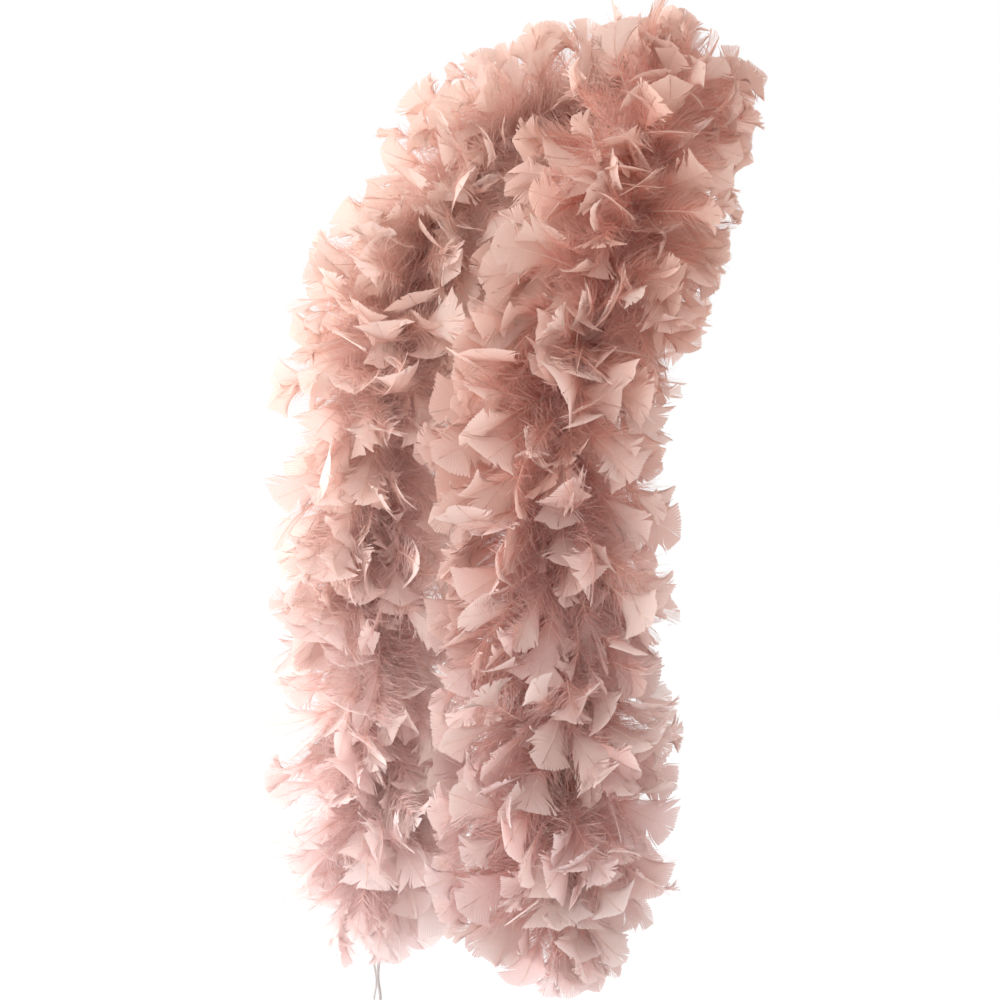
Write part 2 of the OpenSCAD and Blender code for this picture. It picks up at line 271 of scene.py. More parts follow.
class Parts:
    """Gathers tubes into one mesh. The seam's points are doubled so that the lines round a tube close up."""

    def __init__(self):
        self.V, self.F, self.B, self.C, self.n = [], [], [], [], 0

    def tube(self, P, R, sides, cell, phase=0.0, aniso=1.0):
        P = np.asarray(P, float)
        n = len(P)
        R = np.broadcast_to(np.asarray(R, float), (n,))
        _, A, B = frames(P)
        ang = np.linspace(0, 2 * math.pi, sides + 1) + phase
        ring = np.cos(ang)[None, :, None] * A[:, None] + aniso * np.sin(ang)[None, :, None] * B[:, None]
        v = P[:, None] + ring * R[:, None, None]
        along = np.r_[0, np.cumsum(np.linalg.norm(np.diff(P, axis=0), axis=1))]
        x = np.linspace(0, 1, sides + 1)
        self.B.append(np.stack(np.broadcast_arrays(x[None], along[:, None]), -1).reshape(-1, 2))
        x0, y0, w, h = cell
        self.C.append(np.stack(np.broadcast_arrays(x0 + w * x[None], (y0 + h * along / max(along[-1], 1e-9))[:, None]), -1).reshape(-1, 2))
        m = sides + 1
        j, i = np.meshgrid(np.arange(n - 1), np.arange(sides), indexing="ij")
        a = (j * m + i).ravel()
        f = np.concatenate([np.stack([a, a + 1, a + m + 1], 1), np.stack([a, a + m + 1, a + m], 1)])
        ends = []
        for row, rev in ((0, True), (n - 1, False)):
            base = row * m
            for i in range(1, sides - 1):
                t = [base, base + i, base + i + 1]
                ends.append(t[::-1] if rev else t)
        self.F.append(np.concatenate([f, np.array(ends)]) + self.n)
        self.V.append(v.reshape(-1, 3))
        self.n += n * m

    def make(self, name, mat, body, node):
        ob = build(name, np.concatenate(self.V), np.concatenate(self.F), [mat], np.concatenate(self.C), np.concatenate(self.B))
        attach(ob, body)
        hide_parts(node)
        return ob


def rope(parts, P, radius, pitch, step=0.0022, sides=7, cells=3, blunt=True, turn=0.0, low=0.01):
    """Three strands laid round the line P."""
    Q, s = resample(P, step)
    _, A, B = frames(Q)
    rs = radius / 2.155
    rc = radius - rs
    n = len(Q)
    close = np.ones(n)
    if blunt:
        close = np.minimum(1, np.minimum(0.35 + s / 0.0028, 0.35 + (s[-1] - s) / 0.0028))
    ends = []
    for k in range(3):
        a = 2 * math.pi * (s / pitch + k / 3) + turn
        C = Q + (rc * close)[:, None] * (np.cos(a)[:, None] * A + np.sin(a)[:, None] * B)
        parts.tube(C, rs * close, sides, ((k + 0.02) / cells, low, 0.96 / cells, 0.99 - low))
        ends.append(C[-1])
    return np.array(ends), Q


def windings(parts, centre, axis, radius, thread, turns, width, cell, segs=15, layers=1, seed=0):
    """Turns of thread wound side by side on the cord."""
    rng = np.random.default_rng(seed)
    axis = unit(np.asarray(axis, float))
    u = np.cross(axis, [1.0, 0, 0] if abs(axis[0]) < 0.9 else [0, 1.0, 0])
    u = unit(u); w = np.cross(axis, u)
    n = int(turns * segs) + 1
    t = np.linspace(0, 1, n)
    ang = 2 * math.pi * turns * t + rng.uniform(0, 6.28)
    lean = 0.0005 * np.sin(ang * 0.5 + rng.uniform(0, 6.28))
    r = radius + thread * (1.0 + 0.35 * np.sin(ang * 0.37 + rng.uniform(0, 6.28)) ** 2)
    P = centre + (t - 0.5)[:, None] * width * axis + lean[:, None] * axis + r[:, None] * (np.cos(ang)[:, None] * u + np.sin(ang)[:, None] * w)
    parts.tube(P, thread * (0.35 + 0.65 * np.minimum(1, np.minimum(t, 1 - t) * n / 3)), 5, cell)


us = np.linspace(1, 17, 700)
collar_line, _ = spline(us)
parts = Parts()
rope(parts, collar_line, CORD_R, 0.026)
core = parts.make("cord_collar", CORE, "collar", "core_collar")

BIND_PITCH, BIND_W = 0.022, 0.006
parts = Parts()
cells = 0
for i in range(1, 17):
    n = max(1, int(np.linalg.norm(ROUTE[i + 1] - ROUTE[i]) / BIND_PITCH))
    for k in range(n):
        p, v = spline(i + (k + 0.5) / n)
        windings(parts, p[0], v[0], CORD_R, 0.00055, 5, BIND_W - 0.0012, ((cells % 8 + 0.03) / 8, (cells // 8 + 0.03) / 8, 0.94 / 8, 0.94 / 8), seed=900 + cells)
        cells += 1
parts.make("thread_collar", THREAD, "collar", "bindings_collar")

for side, x, loose in (("left", LEFT_X, 0.066), ("right", RIGHT_X, 0.128)):
    for k in range(4):
        top, bottom = TOP - SEG * k, TOP - SEG * (k + 1)
        body = f"tail_{side}_{k + 1}"
        P = np.array([[x, HANG_Y, z] for z in np.linspace(top - 0.00015, bottom + (0.00015 if k < 3 else 0), 60)])
        parts = Parts()
        rope(parts, P, CORD_R, 0.026, turn=2 * math.pi * SEG / 0.026 * k)
        core = parts.make(f"cord_{side}_{k + 1}", CORE, body, f"core_{side}_{k + 1}")
        parts = Parts()
        count = int((SEG - 0.014 - (0.024 if k == 3 else 0)) / BIND_PITCH) + 1
        for i in range(count):
            c = np.array([x, HANG_Y, top - 0.009 - BIND_W / 2 - i * BIND_PITCH])
            windings(parts, c, (0, 0, -1), CORD_R, 0.00055, 5, BIND_W - 0.0012, ((i + 0.03) / 5, 0.02, 0.94 / 5, 0.96), seed=950 + 10 * k + i)
        parts.make(f"thread_{side}_{k + 1}", THREAD, body, f"bindings_{side}_{k + 1}")
        if k == 3:
            parts = Parts()
            windings(parts, np.array([x, HANG_Y, bottom + 0.011]), (0, 0, -1), CORD_R, 0.0007, 13, 0.0166, (0.02, 0.02, 0.96, 0.96), segs=18, seed=990)
            parts.make(f"whipping_{side}", THREAD, body, f"end_whipping_{side}")
            # an overhand stop knot, its loop standing on edge
            t = np.linspace(0, 2 * math.pi, 150)
            tre = np.stack([np.sin(t) + 2 * np.sin(2 * t), -1.25 * np.sin(3 * t), np.cos(t) - 2 * np.cos(2 * t)], 1)
            parts = Parts()
            rope(parts, np.array([x, HANG_Y, bottom - 0.0101]) + tre * 0.0025, 0.0036, 0.020, step=0.0016, blunt=False)
            parts.make(f"knot_{side}", CORE, body, f"end_knot_{side}")
    # the loose end: cord above, its three strands coming apart below
    z0 = TOP - TAIL - 0.0189
    fray = (0.62 if side == "left" else 0.80) * loose
    rng = np.random.default_rng(77 if side == "left" else 78)
    parts = Parts()
    s = np.linspace(0, loose - fray, 50)
    P = np.stack([x + 0.0016 * np.sin(s / loose * 3), HANG_Y + 0.0010 * np.sin(s / loose * 4), z0 - s], 1)
    P[0] = (x, HANG_Y, z0)
    ends, Q = rope(parts, P, 0.0032, 0.018, step=0.0018, blunt=False, low=0.62)
    bundle = [(2 * math.pi * b / 3 + rng.uniform(-0.5, 0.5), rng.uniform(0.0018, 0.0036), rng.uniform(0.0008, 0.0016), rng.uniform(9, 15),
               rng.uniform(0, 6.28)) for b in range(3)]
    for j in range(60):
        e = ends[j % 3] + rng.normal(0, 0.0004, 3) * [1, 1, 0]
        t = np.linspace(0, 1, 22)
        ln = fray * rng.uniform(0.55, 0.99)
        if j < 28:
            ln = fray * rng.uniform(0.985, 1.0)
        way, far, kink, fr, ph = bundle[j % 3]
        own, spread = rng.uniform(0, 2 * math.pi), rng.uniform(0.0002, 0.0018)
        wob = rng.uniform(0.0001, 0.0006)
        real = t * ln / fray
        sx = e[0] + far * math.cos(way) * real + kink * np.sin(real * fr + ph) * real**0.6 + spread * math.cos(own) * real**1.4 + wob * np.sin(t * rng.uniform(8, 20) + own) * t
        sy = e[1] + far * math.sin(way) * real + kink * np.cos(real * fr * 0.8 + ph) * real**0.6 + spread * math.sin(own) * real**1.4 + wob * np.sin(t * rng.uniform(8, 20) + ph) * t
        sz = e[2] + 0.002 * (1 - t) - ln * t
        off = np.stack([sx - x, sy - HANG_Y], 1)
        far_out = np.maximum(1, np.linalg.norm(off, axis=1) / 0.0054)
        off = off / far_out[:, None]
        parts.tube(np.stack([x + off[:, 0], HANG_Y + off[:, 1], sz], 1), rng.uniform(0.00018, 0.00032) * (1 - 0.35 * t), 4,
                   ((j % 10 + 0.05) / 10, (j // 10 + 0.05) / 10 * 0.98, 0.09, 0.09))
    end = parts.make(f"frayed_{side}", FRAY, f"loose_end_{side}", f"cord_end_{side}")


# --------------------------------------------------------- feather variants
def smooth01(x, a, b):
    x = np.clip((x - a) / (b - a), 0, 1)
    return x * x * (3 - 2 * x)


def variant(rng, L=125.0, W=35.0, start_at=0.44):
    """One flat feather in millimetres: u along the shaft, v across, w out of its plane."""
    V, T, CELL, BARB, TT, KIND, SS = [], [], [], [], [], [], []
    base = 0

    def put(v, t, cell, barb, tt, kind, ss):
        nonlocal base
        V.append(v); T.append(t + base); CELL.append(cell); BARB.append(barb); TT.append(tt)
        KIND.append(np.full(len(v), kind)); SS.append(ss)
        base += len(v)

    blunt = rng.uniform(0.0, 0.8)
    S = np.array([0.0, 0.34, 0.68, 0.96])
    n = len(S)
    tri = strip(n)
    side_w = (W * rng.uniform(0.85, 1.12), W * rng.uniform(0.85, 1.12))
    for si, sg in enumerate((1.0, -1.0)):
        N = 35
        k = np.arange(N + 1)
        tau = k / N
        w = side_w[si]
        corner = rng.uniform(0.5, 0.72)
        low = np.clip(tau / corner, 0, 1)
        high = np.clip((tau - corner) / (1 - corner), 0, 1)
        cu = rng.uniform(0.86, 1.03)
        over = (1 - blunt) * high + blunt * np.sin(high * np.pi / 2) ** 1.1
        end_u = L * (start_at + 0.20 + (cu - start_at - 0.20) * low**0.9) + L * (1.035 - cu) * over
        end_v = w * (0.42 + 0.58 * low) * (1 - high) ** (1.0 - 0.1 * blunt)
        # rounded corner, slow waver and fine teeth
        end_v *= 1 + (0.05 - 0.09 * blunt) * np.exp(-((tau - corner) / 0.08) ** 2)
        ph = rng.uniform(0, 6.28, 3)
        wav = 1 + 0.05 * np.sin(tau * 9 + ph[0]) + 0.03 * np.sin(tau * 23 + ph[1])
        root_u = L * (start_at + (0.97 - start_at) * tau**0.92)
        root = np.stack([root_u, np.full(N + 1, 0.35)], 1)
        end = np.stack([end_u, end_v], 1)
        d = (end - root) * wav[:, None] + rng.normal(0, 0.28, (N + 1, 2))
        dist = np.linalg.norm(d, axis=1)
        a_end = np.arctan2(d[:, 1], d[:, 0])
        a0 = a_end + np.radians(rng.uniform(16, 26)) * (1 - 0.75 * tau)
        p1 = root + 0.5 * dist[:, None] * np.stack([np.cos(a0), np.sin(a0)], 1)
        # splits: the vane parts into a V that starts part of the way along the barbs
        offl, offr = np.zeros(N + 1), np.zeros(N + 1)
        start = np.full(N + 1, 0.3)
        for _ in range(rng.integers(0, 4)):
            ks = int(rng.integers(4, N - 3))
            amp = np.radians(rng.uniform(3, 10) if rng.random() < 0.75 else rng.uniform(10, 18))
            wd = rng.uniform(1.4, 3.6)
            f = np.exp(-np.abs(k - ks) / wd)
            upper = np.where(k >= ks, -amp * f, 0)
            lower = np.where(k <= ks, amp * 0.8 * f, 0)
            offl += np.where(k > ks, upper, np.where(k < ks, lower, upper))
            offr += np.where(k > ks, upper, np.where(k < ks, lower, lower))
            start = np.where(np.abs(k - ks) < wd * 2, rng.uniform(0.25, 0.7), start)
        loose = rng.random(N + 1) < 0.06

        def curve(off, ss):
            s = ss[None, :, None]
            pts = (1 - s) ** 2 * root[:, None] + 2 * s * (1 - s) * p1[:, None] + s**2 * (root + d)[:, None]
            g = smooth01(ss[None, :], start[:, None], 1.0) * off[:, None]
            r = pts - root[:, None]
            c, q = np.cos(g), np.sin(g)
            return root[:, None] + np.stack([r[..., 0] * c - r[..., 1] * q, r[..., 0] * q + r[..., 1] * c], -1)

        full = np.append(S, 1.015)
        CL, CR = curve(offl, full), curve(offr, full)
        for i in range(N):
            lft, rgt = CL[i, :n].copy(), CR[i + 1, :n].copy()
            # the teeth: each barb narrows towards its tip
            thin = max(0.0, 1 - tau[i] / 0.36)
            nar = np.clip(np.array([0, 0, 0.0, 0.12]) + thin * rng.uniform(0.5, 1.0) * np.array([0.15, 0.45, 0.65, 0.6]), 0, 0.9)[:, None]
            mid = (lft + rgt) / 2
            lft, rgt = lft + (mid - lft) * nar, rgt + (mid - rgt) * nar
            ext = rng.uniform(-0.015, 0.024) + (0.06 if loose[i] else 0) + thin * rng.uniform(-0.05, 0.30)
            tip = (CL[i, n] + CR[i + 1, n]) / 2
            tip = tip + (tip - mid[-1]) * (ext / 0.055)
            if loose[i]:
                bend = rng.normal(0, 1.6)
                f = (S**3)[:, None] * np.array([[0.0, 1.0]]) * bend
                lft, rgt, tip = lft + f, rgt + f, tip + np.array([0, 1.2 * bend])
            v = np.zeros((2 * n + 1, 3))
            v[0 : 2 * n : 2, :2] = lft; v[1 : 2 * n : 2, :2] = rgt; v[2 * n, :2] = tip
            lift = 0.16 + 0.10 * rng.random()
            v[0 : 2 * n : 2, 2] = -lift; v[1 : 2 * n : 2, 2] = lift
            if loose[i]:
                v[: 2 * n, 2] += np.repeat(S**2, 2) * rng.normal(0, 2.0)
            v[:, 1] *= sg
            ss = np.append(np.repeat(S, 2), 1.0)
            cell = np.stack([0.53 + v[:, 1] / (2 * 44.0) * 0.88, 0.32 + (v[:, 0] / L - 0.34) / 0.75 * 0.66], 1)
            barb = np.stack([np.append(np.tile([0.0, 1.0], n), 0.5) + i + si * 100, ss * 12], 1)
            put(v, tri if sg > 0 else tri[:, ::-1], cell, barb, np.clip(v[:, 0] / L, 0, 1.1), 0, ss)
    # open, downy barbs low on the shaft, then true down under them
    S2 = np.array([0, 0.38, 0.76])
    n2 = len(S2)
    tri2 = strip(n2)
    M1, M2 = 90 + int(210 * (start_at - 0.44)), 24
    for i in range(M1 + M2):
        sg = 1.0 if i % 2 else -1.0
        if i < M1:
            f = i / M1
            ru = L * (0.10 + (start_at - 0.03) * f) + rng.normal(0, 0.6)
            ln = rng.uniform(24, 50) * (1 - (0.12 + 1.6 * max(0.0, start_at - 0.64)) * f)
            a = math.radians(rng.normal(66 - 24 * f, 9))
            wid, dw, kind = rng.uniform(0.45, 0.95), rng.normal(0, 7.5), 1
        else:
            f = (i - M1) / M2
            ru = L * (0.03 + 0.18 * f) + rng.normal(0, 0.8)
            ln = rng.uniform(20, 36)
            a = math.radians(rng.normal(78, 22))
            wid, dw, kind = rng.uniform(0.35, 0.65), rng.normal(0, 13.0), 2
        cv = rng.normal(-0.35, 0.35)
        wob, fr = rng.uniform(0.4, 2.2), rng.uniform(4, 10)
        pp, qq = rng.uniform(0, 6.28, 2)
        s = S2
        ang = a + cv * s
        du = np.cumsum(np.r_[0, np.diff(s) * np.cos(ang[:-1])]) * ln
        dv = np.cumsum(np.r_[0, np.diff(s) * np.sin(ang[:-1])]) * ln
        wv = wob * s * np.sin(fr * s + pp)
        mid = np.stack([ru + du - wv * np.sin(ang), 0.3 + dv + wv * np.cos(ang), dw * s**1.5 + wob * s * np.sin(fr * s + qq)], 1)
        hw = (wid * (1 - 0.75 * s))[:, None] / 2
        roll = rng.normal(0, 0.8)
        side = np.stack([-np.sin(ang) * math.cos(roll), np.cos(ang) * math.cos(roll), np.full(n2, math.sin(roll))], 1)
        v = np.zeros((2 * n2 + 1, 3))
        v[0 : 2 * n2 : 2] = mid - side * hw; v[1 : 2 * n2 : 2] = mid + side * hw
        v[2 * n2] = mid[-1] + (mid[-1] - mid[-2]) * 0.9
        v[:, 1] *= sg
        ss = np.append(np.repeat(s, 2), 1.0)
        half = (M1 + M2 + 1) // 2
        x0 = 0.07 + 0.9 * (i % half) / half
        cell = np.stack([x0 + np.append(np.tile([0, 0.9], n2), 0.45) * 0.9 / half, 0.02 + 0.14 * (i // half) + 0.12 * ss], 1)
        barb = np.stack([np.append(np.tile([0.0, 1.0], n2), 0.5) + i, ss * 8], 1)
        put(v, tri2, cell, barb, np.full(2 * n2 + 1, ru / L), kind, ss)
    # the shaft
    m = 6
    us = np.linspace(0, 0.965 * L, m)
    rad = 1.05 * (1 - us / L) ** 0.7 + 0.20
    ring = np.array([[1, 0], [-0.5, 0.87], [-0.5, -0.87]])[:, [1, 0]]
    v = np.zeros((m * 3, 3))
    for j in range(m):
        v[3 * j : 3 * j + 3, 0] = us[j]
        v[3 * j : 3 * j + 3, 1:] = ring * rad[j]
    t = []
    for j in range(m - 1):
        for i in range(3):
            a, b = 3 * j + i, 3 * j + (i + 1) % 3
            t += [[a, b, b + 3], [a, b + 3, a + 3]]
    ss = np.repeat(us / L, 3)
    cell = np.stack([0.02 + 0.03 * np.tile(np.arange(3) / 3, m), 0.03 + 0.9 * ss], 1)
    put(v, np.array(t), cell, np.stack([np.tile(np.arange(3.0), m), ss * 4], 1), ss, 3, np.zeros(m * 3))
    return dict(v=np.concatenate(V), t=np.concatenate(T), cell=np.concatenate(CELL), barb=np.concatenate(BARB),
                tt=np.concatenate(TT), kind=np.concatenate(KIND), ss=np.concatenate(SS), L=L, W=W)


seed_rng = np.random.default_rng(20240)
VARIANTS = [variant(seed_rng, 125.0, w, v) for w, v in (
    (30, 0.48), (35, 0.52), (26, 0.75), (34, 0.50), (28, 0.66), (20, 0.48), (32, 0.56), (28, 0.79), (31, 0.48), (22, 0.71),
    (29, 0.54), (34, 0.60), (24, 0.77), (30, 0.62))]

# ---------------------------------------------------------------- colouring
PEACH, SALMON, BLUSH, MAUVE, CREAM = rgb(0.90, 0.78, 0.725), rgb(0.89, 0.725, 0.67), rgb(0.935, 0.825, 0.815), rgb(0.85, 0.725, 0.69), rgb(0.94, 0.865, 0.83)
ROSE = rgb(0.95, 0.885, 0.88)
DEEP, RUST, SHAFT = rgb(0.89, 0.575, 0.49), rgb(0.85, 0.44, 0.35), rgb(0.98, 0.89, 0.84)


def feather_colour(var, z, rng, lift=1.0):
    """Linear colour of each point of one feather. Low feathers are pinker and paler, high ones more peach. A lift
    above 1 is painted light: feathers on the right-hand side, which faces the key light, are paled towards cream and
    rose and brightened. A lift below 1, with the factor 1.07 - 0.13 * low, is painted shade on the left-hand side,
    darker towards the bottom.
    """
    low = np.clip((-z - 0.12) / 0.62, 0, 1)
    pick = rng.random()
    top = (PEACH * 0.6 + SALMON * 0.4) * (1 - low) + BLUSH * low
    if pick < 0.16 - 0.1 * low:
        top = top * 0.5 + MAUVE * 0.5
    elif pick < 0.45:
        top = top * 0.5 + CREAM * 0.5
    elif pick < 0.6:
        top = top * 0.75 + SALMON * 0.25
    # painted light: the right-hand side (lift above 1), facing the key light, is paled towards cream and rose
    if lift > 1:
        top = top * 0.20 + (CREAM * (1 - low) + ROSE * low) * 0.80
    # painted light and shade: brightness scaled by lift, and on the left-hand side painted shade that darkens it
    # towards the bottom
    top = top * rng.uniform(0.90, 1.06) * lift * (1 if lift > 1 else 1.07 - 0.13 * low)
    deep = DEEP * (1 - 0.38 * low) + BLUSH * 0.38 * low
    # painted light: the deep colour on the right-hand side is paled the same way
    if lift > 1:
        deep = deep * 0.52 + (CREAM * (1 - low) + ROSE * low) * 0.48
    t, s, k = var["tt"], var["ss"], var["kind"]
    c = deep[None] + (top - deep)[None] * smooth01(t, 0.30, 0.80)[:, None]
    pale = top * 0.5 + (rgb(0.93, 0.82, 0.77) * (1 - low) + rgb(0.95, 0.91, 0.90) * low) * 0.5
    edge = np.clip(smooth01(t, 0.80, 1.02) * 0.7 + smooth01(s, 0.72, 1.0) * 0.45, 0, 1) * (k == 0)
    c = c + (pale[None] - c) * edge[:, None] * 0.8
    downy = (k == 1) | (k == 2)
    dcol = (deep * 0.66 + top * 0.34)[None] + (pale - deep)[None] * (0.58 * s)[:, None]
    c = np.where(downy[:, None], dcol, c)
    c = np.where((k == 3)[:, None], (SHAFT * 0.75 + top * 0.25)[None] * (0.9 + 0.1 * t)[:, None], c)
    return np.clip(c, 0.01, np.array([0.95, 0.85, 0.83]))


# ------------------------------------------------------------ one feather
def place(var, rng, base, D, N, scale, widen, bend, sidebend, camber, twist, flutter):
    L = var["L"] * scale
    q = var["v"] * scale
    u, v, w = q[:, 0], q[:, 1] * widen, q[:, 2].copy()
    vn = v / (var["W"] * scale)
    vane = (var["kind"] == 0)
    ph = rng.uniform(0, 6.28, 3)
    w = w + camber * vn**2 + flutter * vn * np.sin(u / L * 7 + ph[0]) + 0.6 * flutter * np.sin(u / L * 11 + vn * 3 + ph[1]) * np.abs(vn)
    if rng.random() < 0.2:  # one edge curls
        sgn = 1 if rng.random() < 0.5 else -1
        w = w + rng.uniform(3, 9) * np.clip(vn * sgn - 0.35, 0, 1) ** 2 * (1 if rng.random() < 0.7 else -1)
    ps = twist * (u / L)
    v, w = v * np.cos(ps) - w * np.sin(ps), v * np.sin(ps) + w * np.cos(ps)
    g = np.linspace(0, 1.15, 70)
    th = bend * g**1.7
    fv = sidebend * g**1.4
    dirs = np.stack([np.cos(th) * np.cos(fv), np.cos(th) * np.sin(fv), np.sin(th)], 1)
    step = g[1] * L
    C = np.concatenate([[[0, 0, 0]], np.cumsum((dirs[1:] + dirs[:-1]) / 2 * step, 0)])
    x = np.clip(u / L, 0, 1.15)
    P = np.stack([np.interp(x, g, C[:, i]) for i in range(3)], 1)
    tx, fx = bend * x**1.7, sidebend * x**1.4
    b = np.stack([-np.sin(fx), np.cos(fx), np.zeros_like(fx)], 1)
    dd = np.stack([np.cos(tx) * np.cos(fx), np.cos(tx) * np.sin(fx), np.sin(tx)], 1)
    nn = np.cross(dd, b)
    P = P + v[:, None] * b + w[:, None] * nn
    Sd = np.cross(N, D)
    return base + (P[:, :1] * D + P[:, 1:2] * Sd + P[:, 2:3] * N) * MM


R_LIM = {"nape": 0.092, "tail": 0.115, 0: 0.092, 1: 0.093, 2: 0.110, 3: 0.111, 4: 0.114}
NECK_C = np.array([-0.004, -0.058])
CAD_LO, CAD_HI = np.array(cad_low), np.array(cad_high)
ROOM_LO, ROOM_HI = CAD_LO - 0.03 * (CAD_HI - CAD_LO) - 0.007, CAD_HI + 0.03 * (CAD_HI - CAD_LO) + 0.007


def tuft(name, body, replaces, kind, side, k, count, seed):
    rng = np.random.default_rng(seed)
    P, T = core_share(kind, side, k)
    V, F, CE, BA, CO, SM = [], [], [], [], [], []
    off = 0
    tail = kind == "tail"
    last = tail and k == 3
    limit = R_LIM[k if kind == "collar" else kind]
    for i in range(count):
        f = (i + rng.uniform(0.1, 0.9)) / count
        low_end = last and i >= count - 26
        if low_end:
            f = rng.uniform(0.72, 0.97)
        x = f * (len(P) - 1)
        j = min(int(x), len(P) - 2)
        p = P[j] + (P[j + 1] - P[j]) * (x - j)
        t = unit(T[j] + (T[j + 1] - T[j]) * (x - j))
        up = np.array([0, 0, 1.0]) if abs(t[2]) < 0.9 else np.array([1.0, 0, 0])
        e1 = unit(np.cross(t, up)); e2 = np.cross(t, e1)
        phi = i * 2.39996 + rng.normal(0, 0.35) + seed
        rad = math.cos(phi) * e1 + math.sin(phi) * e2
        if tail:
            tilt = math.radians(rng.normal(42, 21))
        else:
            tilt = math.radians(rng.normal((16, 18, 26, 34, 40)[k], 20))
            if k == 0:
                tilt = tilt * 1.9 - math.radians(30 if kind == "nape" else 22)
        tilt = min(max(tilt, math.radians(-25 if tail or k else -62)), math.radians(78))
        gap = side == "left" and p[2] < 0.0 and rad @ RIGHT < -0.55
        if gap:
            tilt = math.radians(rng.normal(24, 16))
        if low_end:
            tilt = math.radians(rng.uniform(35, 84))
        D = unit(math.cos(tilt) * rad + math.sin(tilt) * t + rng.normal(0, 0.08, 3))
        D = unit(D + np.array([0, 0, -0.16]))
        turned = None
        if p[2] > -0.16:  # feathers next to the neck turn up or down along it
            inward = np.append(NECK_C - p[:2], 0.0)
            near = np.linalg.norm(inward)
            run = np.clip(inward[:2] @ D[:2] / max(D[:2] @ D[:2], 1e-6), 0, 0.125)
            miss = np.linalg.norm(inward[:2] - D[:2] * run)
            inward = inward / near
            most = 0.02 + 0.9 * max(0.0, (near - 0.062) / 0.125 - 0.12)
            over = D @ inward - most if miss < 0.072 else 0
            if over > 0:
                turned = inward
                up_down = 1.0 if rng.random() < (0.68 if p[2] > -0.05 else 0.2) else -1.0
                D = unit(D - over * inward + np.array([0, 0, up_down * over * 1.1]) + t * rng.normal(0, 0.25))
        # outward face of the vane, then a free roll about the shaft
        n0 = unit(np.cross(np.cross(D, rad if tilt > 0.5 else -t), D)) if abs(tilt) > 1e-3 else unit(-t)
        n0 = unit(math.sin(tilt) * rad - math.cos(tilt) * t)
        n0 = unit(n0 - (n0 @ D) * D)
        roll = rng.normal(0, 0.8) if rng.random() < 0.45 else rng.uniform(-math.pi, math.pi)
        N = n0 * math.cos(roll) + np.cross(D, n0) * math.sin(roll)
        if turned is not None:
            N = turned + rng.normal(0, 0.35, 3)
        N = unit(N - (N @ D) * D)
        var = VARIANTS[int(rng.integers(len(VARIANTS)))]
        reach = limit + (rng.uniform(0, 0.010) if rng.random() < 0.12 else 0)
        if side and p[2] < -0.15 and D[0] * p[0] < -0.03:  # the two tails' feathers mingle between them
            reach = 0.124
        if gap and not low_end:
            reach = rng.uniform(0.124, 0.150)
        if D[2] > 0.45 and (kind == "nape" or k == 0):
            reach = limit + 0.014
        sc = rng.uniform(0.84, 1.10) * (0.92 if not tail and k < 2 else 1)
        if gap:
            sc = rng.uniform(1.0, 1.2)
        if low_end:
            sc = rng.uniform(0.74, 0.92) if side == "left" else rng.uniform(0.62, 0.82)
        flip = -1.0 if rng.random() < 0.72 else 1.0
        if turned is not None:
            flip = -1.0
        bend = flip * math.radians(min(abs(rng.normal(34, 20)), 60) + (30 if not tail and k == 0 and D[1] > 0.45 else 0))
        pts = place(var, rng, p + D * 0.003, D, N, sc, rng.uniform(0.8, 1.12), bend, math.radians(rng.normal(0, 9)),
                    flip * rng.uniform(-3, 12), math.radians(rng.normal(0, 24)), rng.uniform(0.5, 3.0))
        # keep inside the roll's reach
        r = pts - p
        rr = r - (r @ t)[:, None] * t
        rm = np.percentile(np.linalg.norm(rr, axis=1), 99.5)
        if rm > reach:
            pts = p + r * (reach / rm)
        far_lo, far_hi = pts.min(0), pts.max(0)
        fit = min(1.0, *((ROOM_LO - p) / np.minimum(far_lo - p, -1e-6)), *((ROOM_HI - p) / np.maximum(far_hi - p, 1e-6)))
        if fit < 1:
            pts = p + (pts - p) * fit
        # vanes that reach the neck lie flat against it
        h = pts[:, :2] - NECK_C
        d = np.linalg.norm(h, axis=1)
        R0 = 0.056 + 0.004 * rng.random()
        inn = (d < R0 + 0.012) & (pts[:, 2] > -0.14)
        if inn.any():
            dn = R0 + 0.012 - (R0 + 0.012 - d[inn]) * 0.22
            pts[inn, :2] = NECK_C + h[inn] * (np.maximum(dn, R0 - 0.004) / np.maximum(d[inn], 1e-4))[:, None]
        cell = i % 100
        cx, cy = cell % 10, cell // 10
        V.append(pts); F.append(var["t"] + off); off += len(pts)
        SM.append(var["kind"][var["t"][:, 0]] != 3)
        CE.append((var["cell"].clip(0.01, 0.99) + [cx, cy]) / 10)
        BA.append(var["barb"] + [0, 40.0 * i])
        # painted light: lift 1.12 pales the right-hand side's feathers, which face the key light; 0.98 is painted
        # shade on the left
        CO.append(feather_colour(var, p[2], rng, 1.12 if side == "right" else 0.98))
    ob = build(name, np.concatenate(V), np.concatenate(F), [VANE], np.concatenate(CE), np.concatenate(BA), np.concatenate(CO), np.concatenate(SM))
    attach(ob, body)
    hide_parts(*replaces)
    return ob


# ------------------------------------------------------------------ pieces
DENSITY = 750
collar = [("nape", "", 0)] + [("collar", s, k) for s in ("left", "right") for k in range(5)]
NAMES = ["back", "shoulder", "chest", "chest", "chest"]
seed = 11
for kind, side, k in collar:
    P, _ = core_share(kind, side, k)
    length = np.linalg.norm(np.diff(P, axis=0), axis=1).sum()
    if kind == "nape":
        node = "feathers_nape"
    else:
        node = f"feathers_{NAMES[k]}_{side}" + (f"_{k - 1}" if k > 1 else "")
    tuft(node.replace("feathers", "vanes"), "collar", [node], kind, side, k, int(round(length * DENSITY)), seed)
    seed += 1
for side in ("left", "right"):
    for k in range(4):
        tuft(f"vanes_tail_{side}_{k + 1}", f"tail_{side}_{k + 1}", [f"feathers_tail_{side}_{k + 1}"], "tail", side, k,
             int(round(SEG * DENSITY)) + (22 if k == 3 else 0), seed)
        seed += 1


